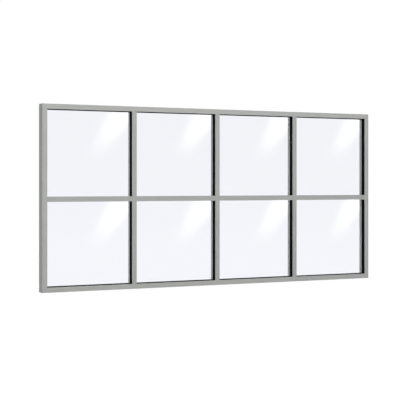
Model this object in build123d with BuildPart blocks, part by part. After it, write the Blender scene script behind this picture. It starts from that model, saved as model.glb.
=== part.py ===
"""Fixed glazed side panel: a mitred aluminium frame with three mullions and a row of transom bars."""

import os

from build123d import *

# Overall sizes, in millimetres. X runs along the panel, Y from its front to its back, Z up.
panel_length = 3000
panel_height = 1450
frame_depth = 85
face_width = 40  # seen face of every rail, jamb, mullion and transom
columns = 4
transom_drop = 9  # the transom's centre line lies this far below mid-height

# Extrusions
wall = 2.0
rebate = 13.0  # height of the glazing rebate, from its floor to the sight line
corner_radius = 1.0  # long outer edges of the frame
lip_radius = 0.5  # front edge of each lip
lip = 2.0  # thickness of the front lip that hides the gasket's end
groove_width = 3.0  # the two grooves in the rebate floor that hold the beads
groove_depth = 3.0
groove_wall = 1.5
groove_from_glass = 4.5  # bead's front to the middle of the first groove
groove_from_back = 6.0  # frame's back to the middle of the second groove

# Glazing, from the front face backwards
glass_setback = 36.5  # front face of the frame to front face of the glass
glass_thickness = 6.0
glass_bite = 8.0  # how far the glass reaches past the sight line
glass_arris = 0.5
gasket_cover = 2.0  # thickness of the black leg that lines the front reveal
gasket_foot = 3.0  # thickness of the part pressed between leg and glass
gasket_reach = 10.0  # how far the gaskets reach past the sight line
gasket_toe = 6.0  # how far the outer gasket shows on the glass, beside rails, jambs and mullions
inner_gasket = 3.0
inner_toe = 4.0  # the same at the back
toe_radius = 2.0  # rounded free edge of the outer toe
inner_chamfer = 1.5  # bevelled free edge of the inner toe

# Glazing beads
bead_wall = 1.5
bead_joint = 0.3  # gap at each end of a bead
bead_foot_gap = 0.3  # clearance round each foot in its groove

# Setting blocks and corner cleats
block_length = 100
block_position = 0.25  # share of the pane's width from each of its sides
cleat_leg = 70
cleat_gap = 0.3

# Holes in the top and bottom rails
screw_hole_radius = 4.25  # through the outer wall, which the screw clamps
access_hole_radius = 7.0  # through the rebate floor, for the screw's head; a bead covers it
screw_hole_y = 20.0
drain_length = 25
drain_width = 5
drain_offset = 60  # each outlet lies this far beside the slot in the rebate floor

# Depths, from front to back
front = -frame_depth / 2
back = frame_depth / 2
lip_back = front + lip
glass_front = front + glass_setback
glass_back = glass_front + glass_thickness
leg_back = glass_front - gasket_foot
bead_front = glass_back + inner_gasket
groove_rows = (bead_front + groove_from_glass, back - groove_from_back)

# Heights above the outer edge of a member, or above the middle of a bar
frame_floor = face_width - rebate
bar_half = face_width / 2
bar_floor = bar_half - rebate

# The openings between the members
clear_width = (panel_length - (columns + 1) * face_width) / columns
transom_height = panel_height / 2 - transom_drop
upper_clear = panel_height - face_width - transom_height - bar_half
lower_clear = transom_height - bar_half - face_width
column_centres = [
    -panel_length / 2 + face_width + clear_width / 2 + n * (clear_width + face_width)
    for n in range(columns)
]
mullion_centres = [x + (clear_width + face_width) / 2 for x in column_centres[:-1]]
rows = {  # middle height, clear height, and the side that the transom is on
    "upper": (transom_height + bar_half + upper_clear / 2, upper_clear, -1),
    "lower": (face_width + lower_clear / 2, lower_clear, 1),
}


def outline(sight_line, floor):
    """Outer shape of a member from h = 0 to its sight line, drawn with h along X."""
    Polyline(
        (0, front),
        (sight_line, front),
        (sight_line, lip_back),
        (sight_line - gasket_cover, lip_back),
        (sight_line - gasket_cover, leg_back),
        (floor, leg_back),
        (floor, back),
        (0, back),
        close=True,
    )


def box_sketch(left, right, low, high, mode=Mode.ADD):
    """A rectangle between two values of h and two of y."""
    with Locations(((left + right) / 2, (low + high) / 2)):
        Rectangle(right - left, high - low, mode=mode)


def chambers(inner_edge, sight_line, floor):
    """The hollow in front of the glass and the one beside the beads."""
    body_top = sight_line - gasket_cover - wall
    box_sketch(inner_edge, body_top, lip_back, leg_back - wall, Mode.SUBTRACT)
    box_sketch(inner_edge, floor - wall, leg_back, back - wall, Mode.SUBTRACT)


def bead_grooves(floor):
    """The two grooves in the rebate floor, each with its own walls."""
    half = groove_width / 2
    for row in groove_rows:
        box_sketch(
            floor - groove_depth - groove_wall, floor, row - half - groove_wall, row + half + groove_wall
        )
    for row in groove_rows:
        box_sketch(floor - groove_depth, floor, row - half, row + half, Mode.SUBTRACT)


# Filled outlines, used to cope the ends of the bars
with BuildSketch() as frame_outline:
    with BuildLine():
        outline(face_width, frame_floor)
    make_face()

with BuildSketch() as bar_outline:
    with BuildLine():
        outline(bar_half, bar_floor)
    make_face()
    mirror(about=Plane.YZ)

# The extrusions' sections
with BuildSketch() as frame_profile:
    add(frame_outline.sketch)
    outer_corners = frame_profile.vertices().group_by(Axis.X)[0]
    fillet(outer_corners, corner_radius)
    lip_edge = frame_profile.vertices().group_by(Axis.X)[-1].sort_by(Axis.Y)[0]
    fillet(lip_edge, lip_radius)
    chambers(wall, face_width, frame_floor)
    bead_grooves(frame_floor)

with BuildSketch() as bar_profile:
    with BuildSketch(mode=Mode.PRIVATE) as half_bar:
        with BuildLine():
            outline(bar_half, bar_floor)
        make_face()
        lip_edge = half_bar.vertices().group_by(Axis.X)[-1].sort_by(Axis.Y)[0]
        fillet(lip_edge, lip_radius)
        chambers(0, bar_half, bar_floor)
        bead_grooves(bar_floor)
    add(half_bar.sketch)
    mirror(about=Plane.YZ)

# A bead: an open channel that stands on the rebate floor (h = 0) with a foot in each groove
with BuildSketch() as bead_profile:
    foot = groove_width - 2 * bead_foot_gap
    box_sketch(0, rebate, bead_front, back)
    box_sketch(0, rebate - bead_wall, bead_front + bead_wall, back - bead_wall, Mode.SUBTRACT)
    rear_edge = bead_profile.vertices().group_by(Axis.X)[-1].sort_by(Axis.Y)[-1]
    fillet(rear_edge, corner_radius)
    for row, edge in zip(groove_rows, (bead_front, back)):
        box_sketch(0, bead_wall, min(row - foot / 2, edge), max(row + foot / 2, edge))
        box_sketch(bead_foot_gap - groove_depth, 0, row - foot / 2, row + foot / 2)


def member_plane(corner, inward):
    """Plane for a section: h along inward, y along Y, with the member running along its normal."""
    inward = Vector(*inward)
    return Plane(origin=corner, x_dir=inward, z_dir=inward.cross(Vector(0, 1, 0)))


def front_plane(x, y, z):
    """Plane parallel to the panel's face, seen from the front."""
    return Plane(origin=(x, y, z), x_dir=(1, 0, 0), z_dir=(0, -1, 0))


def save(part, name):
    part.label = name
    export_step(part, f"parts/{name}.step")


def frame_member(corner, inward, length):
    """One side of the outer frame, mitred at both ends."""
    plane = member_plane(corner, inward)
    along = plane.z_dir
    with BuildPart() as member:
        with BuildSketch(plane):
            add(frame_profile.sketch)
        extrude(amount=length)
        start_mitre = Plane(origin=corner, z_dir=along - plane.x_dir)
        split(bisect_by=start_mitre, keep=Keep.TOP)
        end_mitre = Plane(origin=plane.origin + along * length, z_dir=along + plane.x_dir)
        split(bisect_by=end_mitre, keep=Keep.BOTTOM)
    return member.part


def bar(start, inward, length, seats):
    """A mullion or transom, coped at its ends over the outlines of the members that carry it."""
    plane = member_plane(start, inward)
    with BuildPart() as member:
        with BuildSketch(plane):
            add(bar_profile.sketch)
        extrude(amount=length)
        for seat_plane, seat_outline in seats:
            with BuildSketch(seat_plane):
                add(seat_outline)
            extrude(amount=2 * face_width, mode=Mode.SUBTRACT)
    return member.part


os.makedirs("parts", exist_ok=True)
left, right = -panel_length / 2, panel_length / 2

# Outer frame
save(frame_member((left, 0, 0), (1, 0, 0), panel_height), "frame_left_jamb")
save(frame_member((right, 0, panel_height), (-1, 0, 0), panel_height), "frame_right_jamb")

with BuildPart() as top_rail:
    add(frame_member((left, 0, panel_height), (0, 0, -1), panel_length))
    for x in column_centres:
        with Locations((x, screw_hole_y, panel_height)):
            Cylinder(screw_hole_radius, 2 * frame_floor - 2 * wall, mode=Mode.SUBTRACT)
        with Locations((x, screw_hole_y, panel_height - frame_floor)):
            Cylinder(access_hole_radius, 2 * groove_depth, mode=Mode.SUBTRACT)
save(top_rail.part, "frame_top_rail")

with BuildPart() as bottom_rail:
    add(frame_member((right, 0, 0), (0, 0, 1), panel_length))
    for x in column_centres:
        with Locations((x, screw_hole_y, 0)):
            Cylinder(screw_hole_radius, 2 * frame_floor - 2 * wall, mode=Mode.SUBTRACT)
        with Locations((x, screw_hole_y, frame_floor)):
            Cylinder(access_hole_radius, 2 * groove_depth, mode=Mode.SUBTRACT)
    slot_y = (glass_front + glass_back) / 2
    for x in column_centres:
        for side in (-1, 1):
            slot_x = x + side * clear_width * (0.5 - block_position) / 2
            with BuildSketch(Plane.XY.offset(frame_floor)):
                with Locations((slot_x, slot_y)):
                    SlotOverall(drain_length, drain_width)
            extrude(amount=-2 * wall, mode=Mode.SUBTRACT)
            with BuildSketch(Plane.XY):
                with Locations((slot_x + side * drain_offset, slot_y)):
                    SlotOverall(drain_length, drain_width)
            extrude(amount=2 * wall, mode=Mode.SUBTRACT)
save(bottom_rail.part, "frame_bottom_rail")

# Mullions
for name, x in zip(("mullion_left", "mullion_centre", "mullion_right"), mullion_centres):
    rails = [
        (member_plane((x + face_width, 0, 0), (0, 0, 1)), frame_outline.sketch),
        (member_plane((x - face_width, 0, panel_height), (0, 0, -1)), frame_outline.sketch),
    ]
    save(bar((x, 0, 0), (1, 0, 0), panel_height, rails), name)

# Transom bars
for n, x in enumerate(column_centres):
    low, high = transom_height - face_width, transom_height + face_width
    pitch = (clear_width + face_width) / 2
    left_seat = (member_plane((x - pitch, 0, low), (1, 0, 0)), bar_outline.sketch)
    right_seat = (member_plane((x + pitch, 0, low), (1, 0, 0)), bar_outline.sketch)
    if n == 0:
        left_seat = (member_plane((left, 0, low), (1, 0, 0)), frame_outline.sketch)
    if n == columns - 1:
        right_seat = (member_plane((right, 0, high), (-1, 0, 0)), frame_outline.sketch)
    start = (x + pitch, 0, transom_height)
    save(bar(start, (0, 0, 1), 2 * pitch, [left_seat, right_seat]), f"transom_{n + 1}")


def ring(x, y, z, height, reach):
    """A flat ring round an opening, from its sight line outwards."""
    with BuildSketch(front_plane(x, y, z)) as flat_ring:
        Rectangle(clear_width + 2 * reach, height + 2 * reach)
        Rectangle(clear_width, height, mode=Mode.SUBTRACT)
    return flat_ring.sketch


def toe_strips(x, y, z, height, toe, transom_side, thickness):
    """Gasket that shows on the glass along both sides and the rail, flush and unseen at the transom."""
    with BuildPart() as strips:
        with BuildSketch(front_plane(x, y, z)):
            Rectangle(clear_width, height)
            with Locations((0, transom_side * toe / 2)):
                Rectangle(clear_width - 2 * toe, height - toe, mode=Mode.SUBTRACT)
        extrude(amount=thickness)
    return strips.part


def free_edges(part, x, y, z, height, toe):
    """The edges of a toe that lie inside the opening at depth y."""

    def inside(edge):
        middle = edge.center()
        return abs(middle.X - x) < (clear_width - toe) / 2 and abs(middle.Z - z) < (height - toe) / 2

    return part.edges().filter_by_position(Axis.Y, y, y).filter_by(inside)


# Glass, gaskets and beads of each opening
for row, (z, height, transom_side) in rows.items():
    for n, x in enumerate(column_centres):
        place = f"{row}_{n + 1}"

        with BuildPart() as pane:
            with BuildSketch(front_plane(x, glass_back, z)):
                Rectangle(clear_width + 2 * glass_bite, height + 2 * glass_bite)
            extrude(amount=glass_thickness)
            chamfer(pane.faces().filter_by(Axis.Y).edges(), glass_arris)
        save(pane.part, f"pane_{place}")

        with BuildPart() as outer_gasket:
            extrude(ring(x, glass_front, z, height, gasket_cover), amount=glass_front - lip_back)
            extrude(ring(x, glass_front, z, height, gasket_reach), amount=gasket_foot)
            add(toe_strips(x, glass_front, z, height, gasket_toe, transom_side, gasket_foot))
            fillet(free_edges(outer_gasket, x, leg_back, z, height, gasket_toe), toe_radius)
        save(outer_gasket.part, f"outer_gasket_{place}")

        with BuildPart() as inner_seal:
            extrude(ring(x, bead_front, z, height, gasket_reach), amount=inner_gasket)
            add(toe_strips(x, bead_front, z, height, inner_toe, transom_side, inner_gasket))
            chamfer(free_edges(inner_seal, x, bead_front, z, height, inner_toe), inner_chamfer)
        save(inner_seal.part, f"inner_gasket_{place}")

        half_width = clear_width / 2 + rebate
        half_height = height / 2 + rebate
        long_bead = 2 * half_width - 2 * bead_joint
        short_bead = height - 2 * bead_joint
        sides = (
            ((x + long_bead / 2, 0, z - half_height), (0, 0, 1), long_bead),
            ((x - long_bead / 2, 0, z + half_height), (0, 0, -1), long_bead),
            ((x - half_width, 0, z - short_bead / 2), (1, 0, 0), short_bead),
            ((x + half_width, 0, z + short_bead / 2), (-1, 0, 0), short_bead),
        )
        with BuildPart() as beads:
            for corner, inward, length in sides:
                with BuildSketch(member_plane(corner, inward)):
                    add(bead_profile.sketch)
                extrude(amount=length)
        save(beads.part, f"beads_{place}")

# Setting blocks, two under each pane
with BuildPart() as setting_blocks:
    block_height = rebate - glass_bite
    for row, (z, height, transom_side) in rows.items():
        floor_z = z - height / 2 - rebate
        for x in column_centres:
            for side in (-1, 1):
                block_x = x + side * clear_width * (0.5 - block_position)
                with BuildSketch(front_plane(block_x, glass_back, floor_z + block_height / 2)):
                    Rectangle(block_length, block_height)
                extrude(amount=glass_thickness)
save(setting_blocks.part, "setting_blocks")

# Corner cleats in the front chambers
with BuildPart() as corner_cleats:
    near = wall + cleat_gap
    far = face_width - gasket_cover - wall - cleat_gap
    y_front = lip_back + cleat_gap
    y_back = leg_back - wall - cleat_gap
    for side in (-1, 1):
        for end_z, up in ((0, 1), (panel_height, -1)):
            corner = (side * right, y_back, end_z)
            turn = 1 if side * up < 0 else -1
            with BuildSketch(Plane(origin=corner, x_dir=(-side, 0, 0), z_dir=(0, -1, 0))):
                with BuildLine():
                    Polyline(
                        (near, turn * near),
                        (cleat_leg, turn * near),
                        (cleat_leg, turn * far),
                        (far, turn * far),
                        (far, turn * cleat_leg),
                        (near, turn * cleat_leg),
                        close=True,
                    )
                make_face()
            extrude(amount=y_back - y_front)
save(corner_cleats.part, "corner_cleats")
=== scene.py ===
import math
import bpy
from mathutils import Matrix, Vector


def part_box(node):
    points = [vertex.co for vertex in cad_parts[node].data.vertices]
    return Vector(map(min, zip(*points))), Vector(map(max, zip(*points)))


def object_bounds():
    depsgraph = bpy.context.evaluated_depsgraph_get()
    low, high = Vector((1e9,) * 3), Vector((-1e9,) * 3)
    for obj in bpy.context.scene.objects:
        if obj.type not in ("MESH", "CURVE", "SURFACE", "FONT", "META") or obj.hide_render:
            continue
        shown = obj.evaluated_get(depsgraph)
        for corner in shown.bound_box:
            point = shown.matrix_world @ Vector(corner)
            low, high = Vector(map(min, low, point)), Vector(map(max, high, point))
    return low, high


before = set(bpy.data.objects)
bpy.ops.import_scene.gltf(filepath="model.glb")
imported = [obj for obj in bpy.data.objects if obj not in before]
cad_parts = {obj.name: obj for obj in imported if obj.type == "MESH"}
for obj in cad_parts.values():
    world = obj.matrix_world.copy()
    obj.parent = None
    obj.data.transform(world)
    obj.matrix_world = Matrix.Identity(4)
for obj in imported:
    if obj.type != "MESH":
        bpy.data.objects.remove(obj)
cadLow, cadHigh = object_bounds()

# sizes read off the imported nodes, in metres
mullionLow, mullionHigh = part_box("mullion_centre")
nextLow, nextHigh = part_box("mullion_right")
transomLow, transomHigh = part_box("transom_1")
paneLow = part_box("pane_upper_1")[0]
panel = {
    "halfLength": cadHigh.x,
    "height": cadHigh.z,
    "front": cadLow.y,
    "face": mullionHigh.x - mullionLow.x,  # seen width of every member
    "pitch": (nextLow.x + nextHigh.x - mullionLow.x - mullionHigh.x) / 2,  # from mullion to mullion
    "transom": (transomLow.z + transomHigh.z) / 2,  # height of its centre line
    "glassFront": paneLow.y,
}
panel["columns"] = round((2 * panel["halfLength"] - panel["face"]) / panel["pitch"])
print("frame loaded, panel values", {key: round(value, 4) for key, value in panel.items()})


# camera: fitted to the photograph's edges, level, with the horizon a little above the middle
cameraSetup = {
    "focalPixels": 1068.2,  # focal length, in pixels of the photograph
    "turn": 25.94,  # degrees to the left of square on
    "across": -1.2045,  # from the camera's axis to the panel's front left edge, metres
    "away": 8.160,  # depth of that edge, metres
    "belowTop": 0.6125,  # camera height under the panel's top, metres
    "horizonRow": 183.5,  # of the photograph's rows of pixels
    "imageSide": 400,
    "sensor": 36.0,
    "farClip": 200.0,
}


def makeCamera(setup):
    turn = math.radians(setup["turn"])
    rightward = Vector((math.cos(turn), -math.sin(turn), 0))
    forward = Vector((math.sin(turn), math.cos(turn), 0))
    corner = Vector((cadLow.x, cadLow.y, cadHigh.z - setup["belowTop"]))
    place = corner - rightward * setup["across"] - forward * setup["away"]
    bpy.ops.object.camera_add(location=place, rotation=(math.radians(90), 0, -turn))
    camera = bpy.context.object
    camera.name = "camera"
    camera.data.sensor_fit = "HORIZONTAL"
    camera.data.sensor_width = setup["sensor"]
    camera.data.lens = setup["focalPixels"] * setup["sensor"] / setup["imageSide"]
    camera.data.shift_y = (setup["horizonRow"] - setup["imageSide"] / 2) / setup["imageSide"]
    camera.data.clip_end = setup["farClip"]
    bpy.context.scene.camera = camera
    print("camera at", [round(v, 3) for v in place])
    return place


cameraPlace = makeCamera(cameraSetup)


# node helpers
def newTree(owner):
    owner.use_nodes = True
    owner.node_tree.nodes.clear()
    return owner.node_tree


def addNode(tree, kind, **settings):
    node = tree.nodes.new(kind)
    for key, value in settings.items():
        setattr(node, key, value)
    return node


def feed(tree, socket, source):  # source is another node's output or a plain value
    if isinstance(source, bpy.types.NodeSocket):
        tree.links.new(source, socket)
    else:
        socket.default_value = source


def feedInTurn(tree, node, sources):
    for socket, source in zip(node.inputs, sources):
        feed(tree, socket, source)


def feedByName(tree, node, sources):
    for label, source in sources.items():
        feed(tree, node.inputs[label], source)


def calc(tree, operation, *sources):
    node = addNode(tree, "ShaderNodeMath", operation=operation)
    feedInTurn(tree, node, sources)
    return node.outputs[0]


def vectorCalc(tree, operation, *sources):  # gives the node's outputs, Vector and Value
    node = addNode(tree, "ShaderNodeVectorMath", operation=operation)
    feedInTurn(tree, node, sources)
    return node.outputs


def remap(tree, value, fromRange, toRange, kind="LINEAR"):
    node = addNode(tree, "ShaderNodeMapRange", interpolation_type=kind)
    feedInTurn(tree, node, (value, *fromRange, *toRange))
    return node.outputs["Result"]


def noise(tree, vector, scale, detail=2.0, roughness=0.5):
    node = addNode(tree, "ShaderNodeTexNoise")
    feedByName(tree, node, {"Vector": vector, "Scale": scale, "Detail": detail, "Roughness": roughness})
    return node.outputs["Fac"]


def mixColour(tree, share, first, second, blend="MIX"):
    node = addNode(tree, "ShaderNodeMix", data_type="RGBA", blend_type=blend)
    feedByName(tree, node, {"Factor": share, "A": first, "B": second})
    return node.outputs["Result"]


def splitAxes(tree, vector):
    node = addNode(tree, "ShaderNodeSeparateXYZ")
    feed(tree, node.inputs[0], vector)
    return node.outputs


def addShaders(tree, first, second):
    node = addNode(tree, "ShaderNodeAddShader")
    tree.links.new(first.outputs[0], node.inputs[0])
    tree.links.new(second.outputs[0], node.inputs[1])
    return node


def shade(colour, share=1.0):  # that share of the colour, and opaque
    return (*[part * share for part in colour], 1)


# stage: white world and floor, seen as plain white by camera, gloss and glass
stageSetup = {
    "worldLight": 0.40,  # what lights the object
    "worldSeen": (1.014, 1.003),  # at the horizon and above it
    "worldRise": 0.07,  # height at which the first has gone over into the second
    "floorSide": 160.0,
    "floorColour": 0.60,  # what it sends back to the object
    "floorReach": (3.0, 15.0),  # metres from the panel at which near ends and far begins
    "seenColour": 0.08,  # its own share of shade where the camera looks at it
    "seenGlow": (0.95, 0.98),  # near and far
    "glassColour": 0.02,  # the same where it shows in glass or gloss
    "glassGlow": (1.016, 1.010),
}


def seenRays(tree, rays):  # 1 for camera, glossy and transmission rays, 0 for those that light the object
    gloss = calc(tree, "MAXIMUM", rays["Is Camera Ray"], rays["Is Glossy Ray"])
    return calc(tree, "MAXIMUM", gloss, rays["Is Transmission Ray"])


def makeWorld(setup):
    world = bpy.data.worlds.new("studioWorld")
    bpy.context.scene.world = world
    tree = newTree(world)
    output = addNode(tree, "ShaderNodeOutputWorld")
    light = addNode(tree, "ShaderNodeBackground")
    light.inputs["Color"].default_value = (1, 1, 1, 1)
    seen = seenRays(tree, addNode(tree, "ShaderNodeLightPath").outputs)
    upward = splitAxes(tree, addNode(tree, "ShaderNodeTexCoord").outputs["Generated"])["Z"]
    sky = remap(tree, upward, (0, setup["worldRise"]), setup["worldSeen"])
    feed(tree, light.inputs["Strength"], remap(tree, seen, (0, 1), (setup["worldLight"], sky)))
    tree.links.new(light.outputs[0], output.inputs["Surface"])


def floorMaterial(setup):
    material = bpy.data.materials.new("studioFloor")
    tree = newTree(material)
    output = addNode(tree, "ShaderNodeOutputMaterial")
    rays = addNode(tree, "ShaderNodeLightPath").outputs
    camera = rays["Is Camera Ray"]
    seen = seenRays(tree, rays)
    place = addNode(tree, "ShaderNodeTexCoord").outputs["Object"]
    far = remap(tree, vectorCalc(tree, "LENGTH", place)["Value"], setup["floorReach"], (0, 1))
    direct = remap(tree, far, (0, 1), setup["seenGlow"])
    mirrored = remap(tree, far, (0, 1), setup["glassGlow"])
    glow = addNode(tree, "ShaderNodeEmission")
    shown = remap(tree, camera, (0, 1), (mirrored, direct))
    feed(tree, glow.inputs["Strength"], calc(tree, "MULTIPLY", seen, shown))
    surface = addNode(tree, "ShaderNodeBsdfDiffuse")
    own = remap(tree, camera, (0, 1), (setup["glassColour"], setup["seenColour"]))
    feed(tree, surface.inputs["Color"], remap(tree, seen, (0, 1), (setup["floorColour"], own)))
    tree.links.new(addShaders(tree, surface, glow).outputs[0], output.inputs["Surface"])
    return material


def makeFloor(setup):
    bpy.ops.mesh.primitive_plane_add(size=setup["floorSide"], location=(0, 0, 0))
    floor = bpy.context.object
    floor.name = "studioFloor"
    floor.data.materials.append(floorMaterial(setup))


makeWorld(stageSetup)
makeFloor(stageSetup)
print("stage made")


# lights: a broad key high in front, and a softer one behind, both a little to the left
lightSetup = {
    "keyLight": {"place": (-1.3, -8.3, 4.4), "power": 512.0},
    "backLight": {"place": (-3.0, 7.8, 4.6), "power": 320.0},
    "aim": (0.0, 0.0, 0.75),
    "size": 4.0,
}


def makeLight(name, setup):
    place, aim = Vector(setup[name]["place"]), Vector(setup["aim"])
    turn = (place - aim).to_track_quat("Z", "Y").to_euler()
    bpy.ops.object.light_add(type="AREA", location=place, rotation=turn)
    light = bpy.context.object
    light.name = name
    light.data.shape = "DISK"
    light.data.size = setup["size"]
    light.data.energy = setup[name]["power"]
    light.visible_glossy = False


makeLight("keyLight", lightSetup)
makeLight("backLight", lightSetup)
bpy.context.scene.view_settings.view_transform = "Standard"
print("lights made")


# streaks: a soft slanting glint for each pane, on cards in front that only gloss sees
streakSetup = {
    "ahead": 1.0,  # from the glass to the cards
    "strength": 4.1,
    "start": (0.578, 0.43),  # a point of its middle line: shares of the pane's width and height
    "slope": 0.468,  # how fast the line moves across there as it rises
    "curve": 0.2925,  # and how much faster further up
    "halfWidth": (0.132, 0.18),  # share of the pane's width, low down and at the top
    "widens": (0.65, 1.0),  # share of the pane's height where it does so
    "edge": 3.0,  # how sharply it ends at the sides
    "brightens": (0.385, 0.91),  # share of the pane's height where it begins and where it is brightest
    "margin": 0.055,  # share of a pane over which the card fades past its edge
}


def streakMaterial(setup):
    material = bpy.data.materials.new("softStreak")
    tree = newTree(material)
    output = addNode(tree, "ShaderNodeOutputMaterial")
    margin = setup["margin"]
    scaled = addNode(tree, "ShaderNodeMapping")  # 0 to 1 over the pane, with the margin outside
    scaled.inputs["Location"].default_value = (-margin, -margin, 0)
    scaled.inputs["Scale"].default_value = (1 + 2 * margin, 1 + 2 * margin, 1)
    tree.links.new(addNode(tree, "ShaderNodeTexCoord").outputs["UV"], scaled.inputs[0])
    axes = splitAxes(tree, scaled.outputs[0])
    across, up = axes["X"], axes["Y"]
    rise = calc(tree, "SUBTRACT", up, setup["start"][1])
    lean = calc(tree, "MULTIPLY_ADD", rise, setup["curve"], setup["slope"])
    middle = calc(tree, "MULTIPLY_ADD", rise, lean, setup["start"][0])
    width = remap(tree, up, setup["widens"], setup["halfWidth"], "SMOOTHSTEP")
    share = calc(tree, "ABSOLUTE", calc(tree, "DIVIDE", calc(tree, "SUBTRACT", across, middle), width))
    steep = calc(tree, "POWER", share, setup["edge"])
    fall = calc(tree, "POWER", math.e, calc(tree, "MULTIPLY", steep, -1.0))
    bright = remap(tree, up, setup["brightens"], (0.0, setup["strength"]), "SMOOTHSTEP")
    top = remap(tree, up, (1.0, 1 + margin), (1.0, 0.0), "SMOOTHSTEP")
    side = remap(tree, across, (1.0, 1 + margin), (1.0, 0.0), "SMOOTHSTEP")
    faded = calc(tree, "MULTIPLY", bright, calc(tree, "MULTIPLY", top, side))
    glow = addNode(tree, "ShaderNodeEmission")
    feed(tree, glow.inputs["Strength"], calc(tree, "MULTIPLY", fall, faded))
    clear = addNode(tree, "ShaderNodeBsdfTransparent")
    tree.links.new(addShaders(tree, glow, clear).outputs[0], output.inputs["Surface"])
    return material


def makeCard(material, centre, wide, tall):
    bpy.ops.mesh.primitive_plane_add(size=1, location=centre, rotation=(math.radians(90), 0, 0))
    card = bpy.context.object
    card.name = "streakCard"
    card.scale = (wide, tall, 1)
    card.data.materials.append(material)
    for kind in ("camera", "diffuse", "transmission", "volume_scatter", "shadow"):
        setattr(card, "visible_" + kind, False)


def makeStreaks(setup):
    material = streakMaterial(setup)
    spread = 1 + setup["ahead"] / (panel["glassFront"] - cameraPlace.y)  # as mirrored to the camera
    size = spread * (1 + 2 * setup["margin"])
    face, half = panel["face"], panel["face"] / 2
    rows = ((panel["transom"] + half, panel["height"] - face), (face, panel["transom"] - half))
    for low, high in rows:
        for column in range(panel["columns"]):
            middle = (column - (panel["columns"] - 1) / 2) * panel["pitch"]
            centre = cameraPlace + (Vector((middle, 0, (low + high) / 2)) - cameraPlace) * spread
            centre.y = panel["glassFront"] - setup["ahead"]
            makeCard(material, centre, (panel["pitch"] - face) * size, (high - low) * size)


makeStreaks(streakSetup)
print("streak cards made")


# surface effects that several materials share
effectSetup = {
    "peel": {"detail": 1.5},  # the kinds of noise
    "speckle": {"detail": 1.0, "roughness": 0.7},
    "patches": {"detail": 4.0, "roughness": 0.6},
    "lines": {"detail": 3.0, "roughness": 0.7},
    "rub": {"detail": 3.0, "roughness": 0.7},
    "speckleFiner": 2.6,  # how many times finer the speckle is than the peel
    "speckleSpread": (0.35, 0.65),  # between which values of the noise it goes from none to full
    "patchSpread": (0.3, 0.7),
    "lineSpread": (0.3, 0.7),
    "rubScale": 60.0,  # rubbed and unrubbed stretches to the metre
    "rubSpread": (0.42, 0.62),
    "rubShare": (0.25, 1.0),  # how worn the unrubbed and the rubbed stretches are
}


def newGroup(name, inputs, outputs):  # an input whose value is a tuple is a vector
    group = bpy.data.node_groups.new(name, "ShaderNodeTree")
    for label, value in inputs.items():
        kind = "NodeSocketVector" if isinstance(value, tuple) else "NodeSocketFloat"
        group.interface.new_socket(label, in_out="INPUT", socket_type=kind).default_value = value
    for label in outputs:
        group.interface.new_socket(label, in_out="OUTPUT", socket_type="NodeSocketFloat")
    entry = addNode(group, "NodeGroupInput")
    result = addNode(group, "NodeGroupOutput")
    return group, entry.outputs, result.inputs


def powderGrainGroup(setup):  # the fine orange peel of a powder coat, and its faint cloudiness
    inputs = {"Vector": (0.0, 0.0, 0.0), "Grain Size": 0.001, "Patch Size": 0.35}
    group, entry, result = newGroup("powderGrain", inputs, ("Peel", "Speckle", "Patches"))
    fine = calc(group, "DIVIDE", 1.0, entry["Grain Size"])
    finer = calc(group, "MULTIPLY", fine, setup["speckleFiner"])
    broad = calc(group, "DIVIDE", 1.0, entry["Patch Size"])
    feed(group, result["Peel"], noise(group, entry["Vector"], fine, **setup["peel"]))
    dots = noise(group, entry["Vector"], finer, **setup["speckle"])
    feed(group, result["Speckle"], remap(group, dots, setup["speckleSpread"], (0.0, 1.0)))
    cloud = noise(group, entry["Vector"], broad, **setup["patches"])
    feed(group, result["Patches"], remap(group, cloud, setup["patchSpread"], (0.0, 1.0), "SMOOTHSTEP"))
    return group


def drawnLinesGroup(setup):  # lines that the die leaves along an extrusion
    inputs = {"Vector": (0.0, 0.0, 0.0), "Stretch": (1.0, 900.0, 900.0)}
    group, entry, result = newGroup("drawnLines", inputs, ("Lines",))
    drawn = vectorCalc(group, "MULTIPLY", entry["Vector"], entry["Stretch"])["Vector"]
    feed(group, result["Lines"], noise(group, drawn, 1.0, **setup["lines"]))
    return group


def hairlineGroup():  # a thin dark joint where two members meet
    group, entry, result = newGroup("hairline", {"Distance": 1.0, "Width": 0.0004}, ("Mask",))
    aside = calc(group, "ABSOLUTE", entry["Distance"])
    feed(group, result["Mask"], remap(group, aside, (0.0, entry["Width"]), (1.0, 0.0), "SMOOTHSTEP"))
    return group


def arrisWearAndHighlightGroup(setup):  # lighter coat along a face's long edges, partly rubbed and partly a painted highlight
    inputs = {"Vector": (0.0, 0.0, 0.0), "Aside": 1.0, "Depth": 1.0, "Width": 0.002}
    group, entry, result = newGroup("arrisWearAndHighlight", inputs, ("Mask",))
    across = calc(group, "MULTIPLY", entry["Aside"], entry["Aside"])
    squared = calc(group, "MULTIPLY_ADD", entry["Depth"], entry["Depth"], across)
    distance = calc(group, "SQRT", squared)
    near = remap(group, distance, (0.0, entry["Width"]), (1.0, 0.0), "SMOOTHSTEP")
    rub = noise(group, entry["Vector"], setup["rubScale"], **setup["rub"])
    patchy = remap(group, rub, setup["rubSpread"], setup["rubShare"])
    feed(group, result["Mask"], calc(group, "MULTIPLY", near, patchy))
    return group


effects = {
    "grain": powderGrainGroup(effectSetup),
    "lines": drawnLinesGroup(effectSetup),
    "hairline": hairlineGroup(),
    "arris": arrisWearAndHighlightGroup(effectSetup),
}
print("surface effects made")


def placeEffect(tree, name, sources):
    node = addNode(tree, "ShaderNodeGroup", node_tree=effects[name])
    feedByName(tree, node, sources)
    return node.outputs


def placeGrain(tree, place, setup):
    sizes = {"Grain Size": setup["grainSize"], "Patch Size": setup["patchSize"]}
    return placeEffect(tree, "grain", {"Vector": place, **sizes})


def placeLines(tree, place, stretch):
    return placeEffect(tree, "lines", {"Vector": place, "Stretch": stretch})["Lines"]


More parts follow.
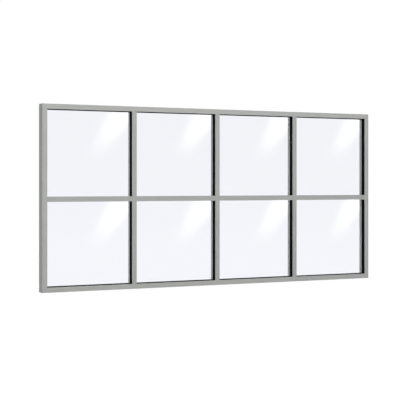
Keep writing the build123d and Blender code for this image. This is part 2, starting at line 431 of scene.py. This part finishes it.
def newMaterial(name):
    material = bpy.data.materials.new(name)
    tree = newTree(material)
    output = addNode(tree, "ShaderNodeOutputMaterial")
    shader = addNode(tree, "ShaderNodeBsdfPrincipled")
    tree.links.new(shader.outputs[0], output.inputs["Surface"])
    place = addNode(tree, "ShaderNodeTexCoord")
    return material, tree, shader.inputs, place.outputs["Object"]


def addBump(tree, inputs, height, distance):
    bump = addNode(tree, "ShaderNodeBump")
    bump.inputs["Distance"].default_value = distance
    feed(tree, bump.inputs["Height"], height)
    feed(tree, inputs["Normal"], bump.outputs[0])


# coating of rails, jambs, mullions and transoms: a warm grey powder coat
coatingSetup = {
    "colour": (0.40, 0.406, 0.392),
    "cloudiness": 0.05,  # how far the colour drifts between patches
    "speckle": 0.12,  # and between the grains of the powder
    "grainSize": 0.0011,
    "patchSize": 0.35,
    "roughness": (0.52, 0.60),
    "specular": 0.25,
    "coat": (0.0, 0.3),  # how much clear gloss lies on top, and how rough it is
    "lineWeight": 0.25,  # die lines that show through the coat
    "relief": 0.00015,
    "jointWidth": 0.0005,  # from the middle of a joint to its edge
    "jointColour": (0.05, 0.05, 0.048),
    "jointSink": -4.0,  # how deep it lies, in heights of the relief
    # the lighter colour along the arrises is partly rubbed coat and partly a painted highlight
    "wornAndHighlightWidth": 0.0022,
    "wornAndHighlightColour": (0.50, 0.505, 0.49),
    "wornAndHighlightShare": 0.5,
}
barSetup = dict(coatingSetup, colour=(0.372, 0.3776, 0.3646))  # mullions and transoms: a shade deeper
beadSetup = dict(coatingSetup, roughness=(0.34, 0.42), specular=0.5, grainSize=0.0008, coat=(0.6, 0.2))
# how the die lines are drawn out: along the length of a member, or round all sides of a pane
alongX, alongZ, roundPane = (0.6, 900.0, 900.0), (900.0, 900.0, 0.6), (0.0, 900.0, 0.0)


def fromEnds(tree, z):  # distance from the nearer of the panel's top and bottom
    return calc(tree, "MINIMUM", z, calc(tree, "SUBTRACT", panel["height"], z))


# each of these gives the distance from a face's nearest long edge, and from its joint
def frameEdges(tree, x, z):
    side = calc(tree, "SUBTRACT", panel["halfLength"], calc(tree, "ABSOLUTE", x))
    end = fromEnds(tree, z)
    outer = calc(tree, "MINIMUM", side, end)
    inner = calc(tree, "SUBTRACT", panel["face"], outer)
    mitre = calc(tree, "MULTIPLY", calc(tree, "SUBTRACT", side, end), math.sqrt(0.5))
    return calc(tree, "MINIMUM", outer, inner), mitre


def mullionEdges(tree, x, z):
    off = calc(tree, "PINGPONG", x, panel["pitch"] / 2)
    edge = calc(tree, "SUBTRACT", panel["face"] / 2, off)
    return edge, calc(tree, "SUBTRACT", fromEnds(tree, z), panel["face"])


def transomEdges(tree, x, z):
    off = calc(tree, "ABSOLUTE", calc(tree, "SUBTRACT", z, panel["transom"]))
    edge = calc(tree, "SUBTRACT", panel["face"] / 2, off)
    return edge, calc(tree, "SUBTRACT", calc(tree, "PINGPONG", x, panel["pitch"] / 2), panel["face"] / 2)


def wearHighlightAndJoints(tree, setup, place, findEdges, colour, height):  # arrises drawn lighter, as rubbed coat and a painted highlight, and dark joints
    axes = splitAxes(tree, place)
    aside, joint = findEdges(tree, axes["X"], axes["Z"])
    depth = calc(tree, "SUBTRACT", axes["Y"], panel["front"])
    arris = {"Vector": place, "Aside": aside, "Depth": depth, "Width": setup["wornAndHighlightWidth"]}
    share = calc(tree, "MULTIPLY", placeEffect(tree, "arris", arris)["Mask"], setup["wornAndHighlightShare"])
    # lighter along the arrises: rubbed coat together with a painted highlight
    colour = mixColour(tree, share, colour, shade(setup["wornAndHighlightColour"]))
    seam = placeEffect(tree, "hairline", {"Distance": joint, "Width": setup["jointWidth"]})["Mask"]
    colour = mixColour(tree, seam, colour, shade(setup["jointColour"]))
    return colour, calc(tree, "MULTIPLY_ADD", seam, setup["jointSink"], height)


def makeCoating(name, setup, stretch, findEdges=None):
    material, tree, inputs, place = newMaterial(name)
    grain = placeGrain(tree, place, setup)
    drift, dots = setup["cloudiness"] / 2, setup["speckle"] / 2
    deep, pale = shade(setup["colour"], 1 - drift), shade(setup["colour"], 1 + drift)
    colour = mixColour(tree, grain["Patches"], deep, pale)
    speckle = remap(tree, grain["Speckle"], (0.0, 1.0), (1 - dots, 1 + dots))
    colour = mixColour(tree, 1.0, colour, speckle, "MULTIPLY")
    lines = placeLines(tree, place, stretch)
    height = calc(tree, "MULTIPLY_ADD", lines, setup["lineWeight"], grain["Peel"])
    if findEdges:
        colour, height = wearHighlightAndJoints(tree, setup, place, findEdges, colour, height)
    feed(tree, inputs["Base Color"], colour)
    feed(tree, inputs["Roughness"], remap(tree, grain["Patches"], (0.0, 1.0), setup["roughness"]))
    inputs["Specular IOR Level"].default_value = setup["specular"]
    inputs["Coat Weight"].default_value, inputs["Coat Roughness"].default_value = setup["coat"]
    addBump(tree, inputs, height, setup["relief"])
    return material


# rubber: black glazing gaskets, and the harder setting blocks
gasketSetup = {
    "colour": (0.0035, 0.0035, 0.0038),
    "bloom": (0.010, 0.010, 0.0105),  # the faint grey that rubber sweats out
    "bloomShare": 0.25,
    "grainSize": 0.0007,
    "patchSize": 0.06,
    "ribs": (0.0, 1800.0, 0.0),  # how the die lines are drawn out: round the pane
    "ribWeight": 0.6,
    "roughness": (0.70, 0.90),
    "specular": 0.06,
    "relief": 0.00008,
}
blockSetup = dict(gasketSetup, colour=(0.028, 0.028, 0.029), bloom=(0.06, 0.06, 0.06), bloomShare=0.5)


def makeRubber(name, setup):
    material, tree, inputs, place = newMaterial(name)
    grain = placeGrain(tree, place, setup)
    ribs = placeLines(tree, place, setup["ribs"])
    share = calc(tree, "MULTIPLY", grain["Patches"], setup["bloomShare"])
    colour = mixColour(tree, share, shade(setup["colour"]), shade(setup["bloom"]))
    feed(tree, inputs["Base Color"], colour)
    feed(tree, inputs["Roughness"], remap(tree, ribs, effectSetup["lineSpread"], setup["roughness"]))
    inputs["Specular IOR Level"].default_value = setup["specular"]
    height = calc(tree, "MULTIPLY_ADD", ribs, setup["ribWeight"], grain["Peel"])
    addBump(tree, inputs, height, setup["relief"])
    return material


# glass: clear, a little cool, with the slow ripple of toughened sheet
glassSetup = {
    "colour": (0.877, 0.8895, 0.932),
    "index": 1.5,
    "ripple": (1.3, 0.0, 3.6),  # waves to the metre along, through and up the pane
    "relief": 0.0006,
}


def makeGlass(setup):
    material, tree, inputs, place = newMaterial("clearGlass")
    inputs["Base Color"].default_value = shade(setup["colour"])
    inputs["Roughness"].default_value = 0.0
    inputs["IOR"].default_value = setup["index"]
    inputs["Transmission Weight"].default_value = 1.0
    waves = vectorCalc(tree, "MULTIPLY", place, setup["ripple"])["Vector"]
    addBump(tree, inputs, noise(tree, waves, 1.0, detail=0.0), setup["relief"])
    return material


# bare aluminium of the corner cleats, as it leaves the press
cleatSetup = {
    "colour": (0.72, 0.72, 0.73),
    "dullShare": 0.85,  # of that colour, in the dull patches
    "grainSize": 0.0006,
    "patchSize": 0.03,
    "lines": (900.0, 4.0, 900.0),
    "roughness": (0.28, 0.45),
    "relief": 0.00004,
}


def makeBareMetal(setup):
    material, tree, inputs, place = newMaterial("bareAluminium")
    grain = placeGrain(tree, place, setup)
    lines = placeLines(tree, place, setup["lines"])
    dull = shade(setup["colour"], setup["dullShare"])
    feed(tree, inputs["Base Color"], mixColour(tree, grain["Patches"], dull, shade(setup["colour"])))
    feed(tree, inputs["Roughness"], remap(tree, lines, effectSetup["lineSpread"], setup["roughness"]))
    inputs["Metallic"].default_value = 1.0
    addBump(tree, inputs, lines, setup["relief"])
    return material


def paint(material, *starts):  # on every node whose name begins so
    chosen = [node for name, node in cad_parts.items() if name.startswith(starts)]
    for node in chosen:
        node.data.materials.clear()
        node.data.materials.append(material)
    print(material.name, "on", len(chosen), "nodes")


paint(makeCoating("railCoating", coatingSetup, alongX, frameEdges), "frame_top", "frame_bottom")
paint(makeCoating("jambCoating", coatingSetup, alongZ, frameEdges), "frame_left", "frame_right")
paint(makeCoating("mullionCoating", barSetup, alongZ, mullionEdges), "mullion_")
paint(makeCoating("transomCoating", barSetup, alongX, transomEdges), "transom_")
paint(makeCoating("beadCoating", beadSetup, roundPane), "beads_")
paint(makeRubber("blackGasket", gasketSetup), "outer_gasket_", "inner_gasket_")
paint(makeRubber("settingBlock", blockSetup), "setting_blocks")
paint(makeGlass(glassSetup), "pane_")
paint(makeBareMetal(cleatSetup), "corner_cleats")


# node trees laid out in columns, as they read best in the shader editor
layoutSetup = {"columnWidth": 220, "rowHeight": 280}


def arrange(tree, setup):  # a column for each step away from the output
    steps = {node.name: 0 for node in tree.nodes}
    settled = False
    while not settled:
        settled = True
        for link in tree.links:
            needed = steps[link.to_node.name] + 1
            if steps[link.from_node.name] < needed:
                steps[link.from_node.name] = needed
                settled = False
    rows = [0] * (max(steps.values()) + 1)
    for name, step in steps.items():
        tree.nodes[name].location = (-setup["columnWidth"] * step, -setup["rowHeight"] * rows[step])
        rows[step] += 1


ownMaterials = [material for material in bpy.data.materials if material.use_nodes and material.users]
for owner in (bpy.context.scene.world, *ownMaterials):
    arrange(owner.node_tree, layoutSetup)
for group in effects.values():
    arrange(group, layoutSetup)
print("node trees laid out")
